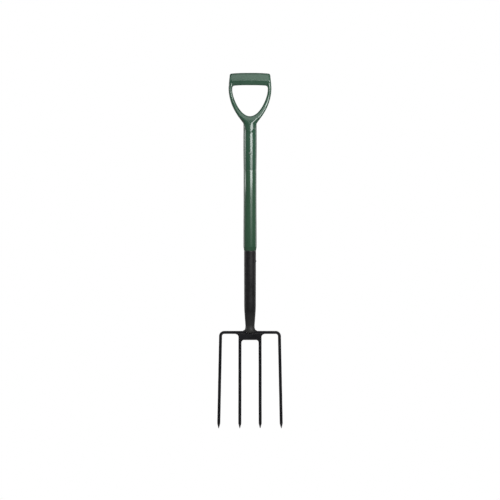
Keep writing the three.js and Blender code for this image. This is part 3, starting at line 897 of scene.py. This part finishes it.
def socketToes():
    bottom = crossbarTop
    reach = socket["neckRadius"] + socket["toeReach"]
    right = [(0, bottom), (reach, bottom)]
    right += bezier((reach, bottom + 0.6), (reach - socket["toeReach"] * 0.6, bottom + 0.6),
                    (socket["neckRadius"], bottom + socket["toeHeight"] * 0.4),
                    (socket["neckRadius"] - 1, bottom + socket["toeHeight"]), 16)
    right += [(0, bottom + socket["toeHeight"])]
    return roundedPlate("toes", [mirroredLoop(right)], socket["bar"] / 2 - 1, 1.2)


def buildSocket():
    body = remeshed(gathered("socket_body", [socketBarrel(), socketToes()]), socket["voxel"])
    neckRadius, neckRise = socket["neckBore"]
    taperRadius, taperRise = socket["taperBore"]
    taper = crossbarTop + socket["taperTop"] + taperRise
    inside = [(neckRadius, crossbarTop + socket["neckTop"] + neckRise), (taperRadius, taper),
              (stem["bore"], taper + socket["boreRise"]), (stem["bore"], socketHigh.z + socket["boreSpare"])]
    bore = moved(turned("socket bore", inside, 96, looped=False), pressFoot)
    body = combined(body, bore, "DIFFERENCE")
    halfSlot, slotReach = socket["bar"] / 2 + socket["gap"], socket["slotReach"]
    slotLow = (-slotReach, -halfSlot, crossbarTop - socket["slotDepth"])
    slot = boxShell("slot", slotLow, (slotReach, halfSlot, crossbarTop))
    body = combined(body, slot, "DIFFERENCE")
    rivetZ = (socketRivetLow.z + socketRivetHigh.z) / 2
    hole = rod("rivet hole", socket["rivetHole"], 0, socket["reach"], rivetZ, alongX=True)
    body = combined(body, hole, "DIFFERENCE")
    seatFrom = socket["mouthRadius"] - socket["seatDepth"]
    seat = rod("rivet seat", socket["rivetSeat"], seatFrom, socket["reach"], rivetZ, alongX=True)
    body = combined(body, seat, "DIFFERENCE")
    body = relaxed(remeshed(body, socket["fineVoxel"]), socket["softening"])
    return finished(body, socketBlack, "socket_paint", "fork_socket", sharpAngle=60)


buildSocket()
print("socket done")


head = {
    "thickness": 8.5,
    "depth": 12.5,
    "endDepth": 8.5,
    "bendInside": 6.5,
    "outerSpread": 83.7,
    "outerSplay": 0.0203,
    "innerSpread": 28.5,
    "innerSplay": 0.0018,
    "webDepth": 17.4,
    "webCorner": 7.0,
    "webFillet": 8.5,
    "pointLength": 13.6,
    "pointHalfWidth": 0.6,
    "sweep": 16.0,
    "sweepStart": 27.0,
    "edge": 1.9,
    "unevenness": 0.14,
    "lumpSize": 23.0,
    "rippleSize": 7.0,
    "rippleShare": 0.4,
    "evenNearTip": 20.0,
    "stations": 90,
    "stationCrowding": 1.15,  # the rings lie closer together towards the tips
    "bendSteps": 14,
    "crossbarSteps": 80,
    "innerVoxel": 0.6,
    "innerSoftening": 3,
}
shoulderZ = crossbarTop - head["bendInside"] - head["thickness"]
crossbarUnderside = crossbarTop - head["thickness"]


# How a tine thins in depth, comes to a point and curves forward, at a height above the tips.
def tineSide(z):
    start = crossbarTop - head["sweepStart"] - tipZ
    down = min(1, max(0, (start - (z - tipZ)) / start))
    intoPoint = min(1, max(0, 1 - (z - tipZ) / head["pointLength"]))
    depth = mixed(mixed(head["depth"], head["endDepth"], down), 2 * head["pointHalfWidth"], intoPoint)
    return depth, -head["sweep"] * down * down


def roundedRectangle(halfWidth, halfDepth, edge):
    edge = min(edge, halfWidth * 0.7, halfDepth * 0.7)
    corners = [(halfWidth, -halfDepth), (halfWidth, halfDepth)]
    corners += [(-halfWidth, halfDepth), (-halfWidth, -halfDepth)]
    return softened(corners, edge, 4)


# Hammering leaves the bar a little uneven.
def hammered(point, amount):
    lump = noise.noise_vector(Vector(point) / head["lumpSize"]) * amount
    ripple = noise.noise_vector(Vector(point) / head["rippleSize"]) * amount * head["rippleShare"]
    return tuple(Vector(point) + (lump + ripple))


# One ring of the bar. across points to the bar's outer side, in the front view.
def barRing(middle, across, halfWidth):
    depth, forward = tineSide(middle[1])
    ring = []
    for w, d in roundedRectangle(halfWidth, depth / 2, head["edge"]):
        x, z = middle[0] + across[0] * w, middle[1] + across[1] * w
        near = min(1, (z - tipZ) / head["evenNearTip"]) if z > tipZ else 0
        ring.append(hammered((x, d + forward, z), head["unevenness"] * near))
    return ring


def tineStations(spread, splay, top):
    stations = []
    steps = head["stations"]
    for i in range(steps + 1):
        z = mixed(tipZ, top, (i / steps) ** head["stationCrowding"])
        intoPoint = min(1, max(0, 1 - (z - tipZ) / head["pointLength"]))
        half = mixed(head["thickness"] / 2, head["pointHalfWidth"], intoPoint)
        stations.append(((spread + (shoulderZ - z) * splay, z), half))
    return stations


def buildOuterBar():
    half = head["thickness"] / 2
    bendX = head["outerSpread"] - half - head["bendInside"]
    bendRadius = head["bendInside"] + half
    tine = tineStations(head["outerSpread"], head["outerSplay"], shoulderZ)
    rings = [barRing(middle, (1, 0), w) for middle, w in tine]

    def bendRing(x, turn):
        across = (math.cos(turn), math.sin(turn))
        return barRing((x + bendRadius * across[0], shoulderZ + bendRadius * across[1]), across, half)

    steps = head["bendSteps"]
    for i in range(1, steps + 1):
        rings.append(bendRing(bendX, math.pi / 2 * i / steps))
    middleZ = crossbarTop - half
    alongSteps = head["crossbarSteps"]
    for i in range(1, alongSteps):
        rings.append(barRing((mixed(bendX, -bendX, i / alongSteps), middleZ), (0, 1), half))
    for i in range(steps):
        rings.append(bendRing(-bendX, math.pi / 2 + math.pi / 2 * i / steps))
    rings += [barRing((-middle[0], middle[1]), (-1, 0), w) for middle, w in reversed(tine)]
    piece = loft("outer_bar", rings)
    return finished(piece, headBlack, "head_paint", "outer_tine_bar", sharpAngle=50)


def webOutline():
    half = head["thickness"] / 2
    outside, inside = head["innerSpread"] + half, head["innerSpread"] - half
    top = crossbarUnderside
    bottom = top - head["webDepth"]
    filletX, filletZ = outside + head["webFillet"], top - 0.6 - head["webFillet"]
    right = [(0, top), (filletX, top)]
    right += arcPoints(filletX, filletZ, head["webFillet"], math.pi / 2, math.pi, 12)
    right += [(outside - 0.3, bottom - 22), (inside + 0.3, bottom - 22)]
    cornerX, cornerZ = inside - head["webCorner"], bottom - head["webCorner"]
    right += arcPoints(cornerX, cornerZ, head["webCorner"], 0, math.pi / 2, 12)
    right += [(0, bottom)]
    return mirroredLoop(right)


def buildInnerYoke():
    top = crossbarUnderside - head["webDepth"] + 4
    shells = [roundedPlate("web", [webOutline()], head["depth"] / 2, head["edge"] * 0.8)]
    shells[0] = moved(shells[0], lambda p: (p.x, p.y + tineSide(p.z)[1], p.z))
    for side in (-1, 1):
        stations = tineStations(head["innerSpread"], head["innerSplay"], top)
        shells.append(loft("inner tine", [barRing((side * m[0], m[1]), (side, 0), w) for m, w in stations]))
    body = relaxed(remeshed(gathered("inner_yoke", shells), head["innerVoxel"]), head["innerSoftening"])
    return finished(body, headBlack, "head_paint", "inner_tine_yoke", sharpAngle=60)


buildOuterBar()
buildInnerYoke()


weld = {
    "radius": 1.5,
    "ripple": 2.6,
    "rippleRise": 0.16,
    "lumpRise": 0.12,
    "lumpSize": 4.0,
    "endShare": 0.25,  # of the bead's size, at its very ends
    "sides": 14,
}


# A bead laid along a line: round, rippled where each pool froze, and tapering at both ends.
def weldBead(name, path, radius):
    rings = []
    lengths = [0]
    for a, b in zip(path, path[1:]):
        lengths.append(lengths[-1] + math.dist(a, b))
    for i, point in enumerate(path):
        before, after = Vector(path[max(0, i - 1)]), Vector(path[min(len(path) - 1, i + 1)])
        along = (after - before).normalized()
        side = along.cross(Vector((0, 0, 1)))
        if side.length < 0.1:
            side = along.cross(Vector((0, 1, 0)))
        side.normalize()
        up = side.cross(along)
        phase = (lengths[i] / weld["ripple"]) % 1
        lump = noise.noise(Vector(point) / weld["lumpSize"])
        swell = 1 + weld["rippleRise"] * (phase - 0.5) + weld["lumpRise"] * lump
        ends = min(1, weld["endShare"] + min(lengths[i], lengths[-1] - lengths[i]) / (2 * radius))
        size = radius * swell * ends
        ring = []
        for k in range(weld["sides"]):
            t = 2 * math.pi * k / weld["sides"]
            ring.append(tuple(Vector(point) + side * size * math.cos(t) + up * size * math.sin(t)))
        rings.append(ring)
    piece = loft(name, rings)
    return finished(piece, weldBlack, "head_paint", sharpAngle=50)


def straightRun(start, end, steps):
    return [tuple(Vector(start).lerp(Vector(end), i / steps)) for i in range(steps + 1)]


def buildWelds():
    reach = head["innerSpread"] + head["thickness"] / 2 + head["webFillet"] * 0.6
    for side, name in ((-1, "front"), (1, "back")):
        y = side * (head["depth"] / 2 - 0.7)
        z = crossbarUnderside
        weldBead(f"web_weld_{name}", straightRun((-reach, y, z), (reach, y, z), 150), weld["radius"])
        lapWidth, lapZ = socket["footRadius"] * 0.84, crossbarTop - socket["lap"]
        path = []
        for i in range(61):
            turn = math.pi * (1 + i / 60)
            x = lapWidth * math.cos(turn)
            drop = abs(math.sin(turn)) ** 0.4
            path.append((x, side * (head["depth"] / 2 + 0.6), mixed(crossbarTop + 1, lapZ - 0.1, drop)))
        weldBead(f"socket_weld_{name}", path, weld["radius"] * 0.9)


buildWelds()
print("head done")


rivet = {
    "barrel": 2.4,
    "bulb": 3.6,
    "bulbLength": 4.0,
    "bulbTop": 12.607,
    "hole": 1.3,
    "handleHead": (4.0, 18.35),  # radius of the head, and its seat's distance from the axis
    "socketHead": (3.3, 16.9),
}


def rivetProfile(headRadius, seat, top):
    rise = top - seat
    hole, barrel, bulb = rivet["hole"], rivet["barrel"], rivet["bulb"]
    bulbTop, bulbLength = rivet["bulbTop"], rivet["bulbLength"]
    profile = [(hole, bulbTop - bulbLength), (bulb * 0.8, bulbTop - bulbLength),
               (bulb, bulbTop - bulbLength / 2), (bulb * 0.9, bulbTop), (barrel, bulbTop),
               (barrel, seat), (headRadius, seat), (headRadius * 0.985, seat + rise * 0.35)]
    for i in range(1, 9):
        turn = math.pi / 2 * i / 8
        radius = mixed(hole + 0.7, headRadius * 0.985, math.cos(turn))
        profile.append((radius, seat + rise * (0.35 + 0.65 * math.sin(turn))))
    profile += [(hole + 0.25, top - 0.05), (hole, top - 0.3)]
    return profile


def buildRivets():
    z = (handleRivetLow.z + handleRivetHigh.z) / 2
    front = turned("rivet_handle", rivetProfile(*rivet["handleHead"], -handleRivetLow.y), 64)
    front = moved(front, lambda p: (p.x, -p.z, z + p.y))
    finished(front, rivetGreen, "green_rivet_paint", "handle_rivet", sharpAngle=50)
    z = (socketRivetLow.z + socketRivetHigh.z) / 2
    side = turned("rivet_socket", rivetProfile(*rivet["socketHead"], socketRivetHigh.x), 64)
    side = moved(side, lambda p: (p.z, p.y, z - p.x))
    finished(side, socketBlack, "socket_paint", "socket_rivet", sharpAngle=50)


buildRivets()
print("rivets done")


stage = {
    "floorHalf": 14.0,
    "floorColor": (0.5, 0.5, 0.49),
    "floorGlow": 0.62,
    "ambient": 0.12,
    "lampAimTop": 0.2,  # lamps that stand higher than this are turned down to it
}


def buildStage():
    half = stage["floorHalf"] / mm
    low = tipZ - 0.4
    corners = [(-half, -half, low), (half, -half, low), (half, half, low), (-half, half, low)]
    floor = meshObject("floor", corners, [(0, 1, 2, 3)])
    plain = bpy.data.materials.new("pale floor")
    plain.use_nodes = True
    links, nodesOfFloor = plain.node_tree.links, plain.node_tree.nodes
    shader = nodesOfFloor["Principled BSDF"]
    shader.inputs["Base Color"].default_value = (*stage["floorColor"], 1)
    shader.inputs["Roughness"].default_value = 0.9
    glow = nodesOfFloor.new("ShaderNodeEmission")
    glow.inputs["Strength"].default_value = stage["floorGlow"]
    seen = nodesOfFloor.new("ShaderNodeLightPath")
    blend = nodesOfFloor.new("ShaderNodeAddShader")
    choice = nodesOfFloor.new("ShaderNodeMixShader")
    links.new(shader.outputs[0], blend.inputs[0])
    links.new(glow.outputs[0], blend.inputs[1])
    links.new(seen.outputs["Is Camera Ray"], choice.inputs[0])
    links.new(shader.outputs[0], choice.inputs[1])
    links.new(blend.outputs[0], choice.inputs[2])
    links.new(choice.outputs[0], nodesOfFloor["Material Output"].inputs["Surface"])
    floor.data.materials.append(plain)

    # The room lights softly and evenly, and shows as plain white behind the fork.
    world = bpy.data.worlds.new("studio")
    world.use_nodes = True
    scene.world = world
    tree = world.node_tree
    soft = tree.nodes["Background"]
    soft.inputs["Color"].default_value = (1, 1, 1, 1)
    soft.inputs["Strength"].default_value = stage["ambient"]
    white = tree.nodes.new("ShaderNodeBackground")
    white.inputs["Color"].default_value = (1, 1, 1, 1)
    white.inputs["Strength"].default_value = 1.0
    paths = tree.nodes.new("ShaderNodeLightPath")
    mix = tree.nodes.new("ShaderNodeMixShader")
    tree.links.new(paths.outputs["Is Camera Ray"], mix.inputs[0])
    tree.links.new(soft.outputs[0], mix.inputs[1])
    tree.links.new(white.outputs[0], mix.inputs[2])
    tree.links.new(mix.outputs[0], tree.nodes["World Output"].inputs["Surface"])


# Each softbox: azimuth from the front towards +X, height of its middle, distance, width, height, watts.
softboxes = {
    "key": {"azimuth": 24, "z": -0.08, "distance": 0.85, "width": 0.54, "height": 0.27, "power": 5.0},
    "key middle": {"azimuth": 24, "z": -0.265, "distance": 0.85, "width": 0.54, "height": 0.10, "power": 0.6},
    "key low": {"azimuth": 24, "z": -0.37, "distance": 0.85, "width": 0.54, "height": 0.11, "power": 0.17},
    "left front": {"azimuth": -93, "z": -0.13, "distance": 1.6, "width": 0.6, "height": 0.22, "power": 2.4},
    "left back": {"azimuth": -130, "z": -0.15, "distance": 1.6, "width": 1.0, "height": 1.1, "power": 4.5},
    "right edge": {"azimuth": 118, "z": -0.1, "distance": 1.8, "width": 0.7, "height": 1.2, "power": 4},
    "canopy front": {"azimuth": 0, "z": 0.80, "distance": 1.15, "width": 1.6, "height": 1.15, "power": 8.5},
    "canopy top": {"azimuth": 0, "z": 1.45, "distance": 0.35, "width": 1.6, "height": 1.1, "power": 8},
}


def buildLights():
    for name, box in softboxes.items():
        light = bpy.data.lights.new(name, "AREA")
        light.shape = "RECTANGLE"
        light.size = box["width"]
        light.size_y = box["height"]
        light.energy = box["power"]
        lamp = bpy.data.objects.new(name, light)
        turn = math.radians(box["azimuth"])
        lamp.location = (box["distance"] * math.sin(turn), -box["distance"] * math.cos(turn), box["z"])
        aim = Vector((0, 0, min(box["z"], stage["lampAimTop"]))) - lamp.location
        lamp.rotation_euler = aim.to_track_quat("-Z", "Y").to_euler()
        lamp.visible_camera = False
        scene.collection.objects.link(lamp)


view = {"width": 1.421, "middle": -0.4683, "distance": 4.0}


def buildCamera():
    data = bpy.data.cameras.new("camera")
    data.type = "ORTHO"
    data.ortho_scale = view["width"]
    camera = bpy.data.objects.new("camera", data)
    camera.location = (0, -view["distance"], view["middle"])
    camera.rotation_euler = (math.pi / 2, 0, 0)
    scene.collection.objects.link(camera)
    scene.camera = camera


buildStage()
buildLights()
buildCamera()
scene.view_settings.view_transform = "Standard"
print("stage, lights and camera done")
